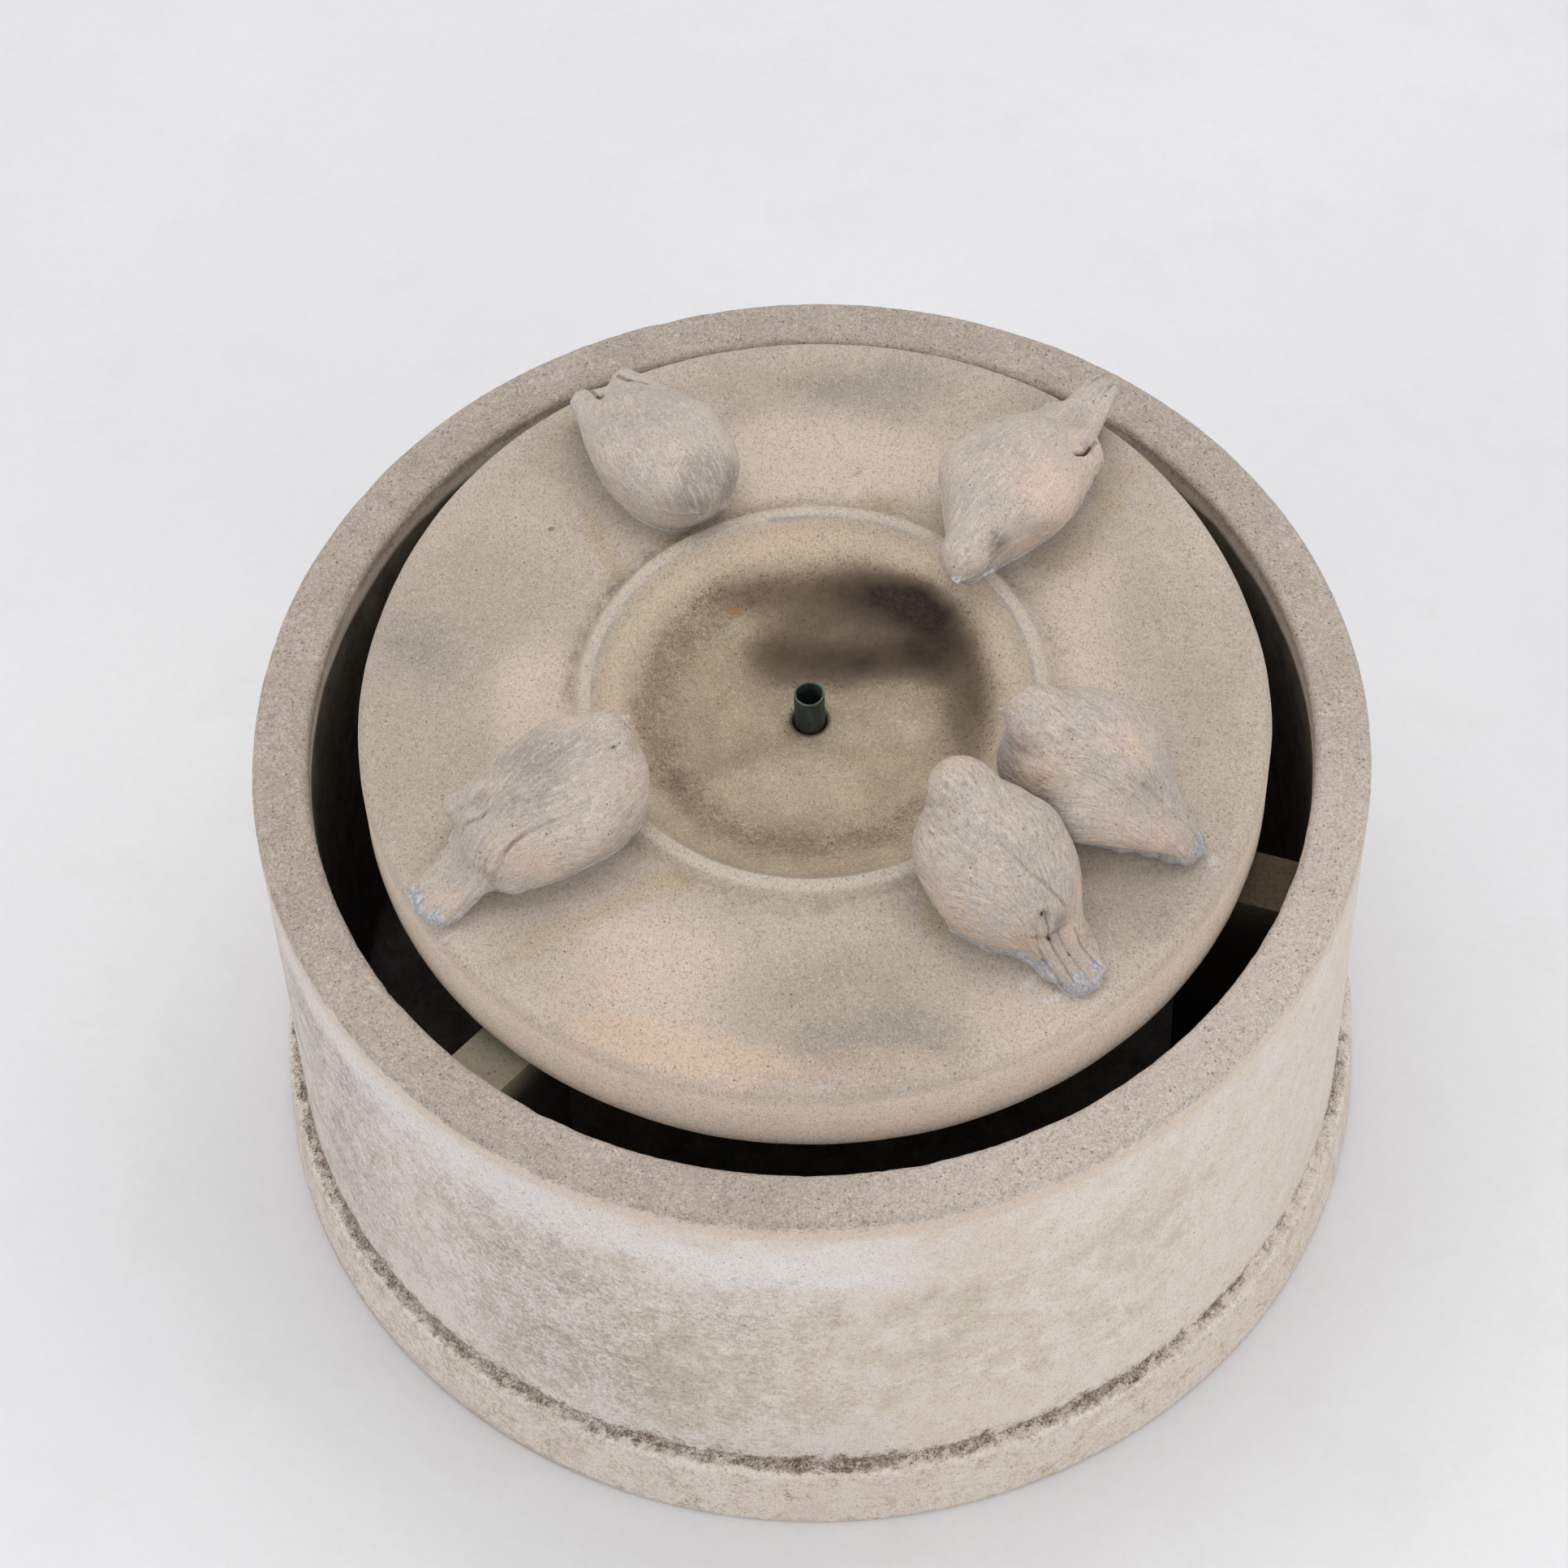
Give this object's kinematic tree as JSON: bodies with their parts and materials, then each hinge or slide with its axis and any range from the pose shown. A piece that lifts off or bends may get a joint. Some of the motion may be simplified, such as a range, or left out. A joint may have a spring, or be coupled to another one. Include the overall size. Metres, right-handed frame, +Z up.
{
  "type": "tiered water fountain",
  "caption": "Low round cast-stone garden fountain: reservoir basin, lift-off bowl top with perched birds, copper riser pipe and a submersible pump inside.",
  "frame": {"origin": "on the ground at the centre of the basin's underside", "axes": "+Z up along the riser pipe; -Y towards the front, +X to the right"},
  "size_m": [0.8396, 0.8396, 0.569],
  "materials": {
    "basin_stone": "matte",
    "top_stone": "matte",
    "bird_stone": "matte",
    "block_stone": "matte",
    "copper_verdigris": "matte",
    "rubber_black": "matte",
    "tube_vinyl": "satin",
    "housing_plastic": "satin",
    "rotor_plastic": "satin",
    "dial_plastic": "satin",
    "steel_band": "satin",
    "core_steel": "matte",
    "coil_copper": "satin",
    "magnet_ferrite": "matte",
    "shaft_ceramic": "satin"
  },
  "bodies": {
    "basin": {"basin": "basin_stone", "support_pier_back": "block_stone", "support_pier_left": "block_stone", "support_pier_right": "block_stone", "support_pads": "rubber_black", "pump_body": "housing_plastic", "stator_core": "core_steel", "stator_coils": "coil_copper", "pump_volute": "housing_plastic", "volute_oring": "rubber_black", "outlet_barb": "housing_plastic", "rotor_shaft": "shaft_ceramic", "rear_bush": "rubber_black", "front_bush": "rubber_black", "cord_gland": "rubber_black", "suction_cups": "rubber_black"},
    "top": {"top_bowl": "top_stone", "bird_back_left": "bird_stone", "bird_back_right": "bird_stone", "bird_front_left": "bird_stone", "bird_front_right_a": "bird_stone", "bird_front_right_b": "bird_stone", "riser_pipe": "copper_verdigris", "pipe_seal": "rubber_black", "supply_tube": "tube_vinyl", "hose_clamp": "steel_band", "clamp_screw": "steel_band"},
    "rotor": {"impeller": "rotor_plastic", "rotor_magnet": "magnet_ferrite"},
    "intake_cover": {"intake_cover": "housing_plastic"},
    "flow_dial": {"flow_dial": "dial_plastic"},
    "drain_stopper": {"drain_stopper": "rubber_black"}
  },
  "joints": [
    {"name": "top_lift", "type": "slide", "parent": "basin", "child": "top", "axis": [0, 0, 1], "range_m": [0, 0.34]},
    {"name": "rotor_spin", "type": "hinge", "parent": "basin", "child": "rotor", "pos_m": [0, 0, 0.097], "axis": [1, 0, 0], "continuous": true},
    {"name": "cover_pull", "type": "slide", "parent": "basin", "child": "intake_cover", "axis": [1, 0, 0], "range_m": [0, 0.06]},
    {"name": "dial_turn", "type": "hinge", "parent": "intake_cover", "child": "flow_dial", "pos_m": [0.047, 0, 0.097], "axis": [1, 0, 0], "range_deg": [0, 90]},
    {"name": "stopper_pull", "type": "slide", "parent": "basin", "child": "drain_stopper", "axis": [0, 0, 1], "range_m": [0, 0.08]}
  ]
}
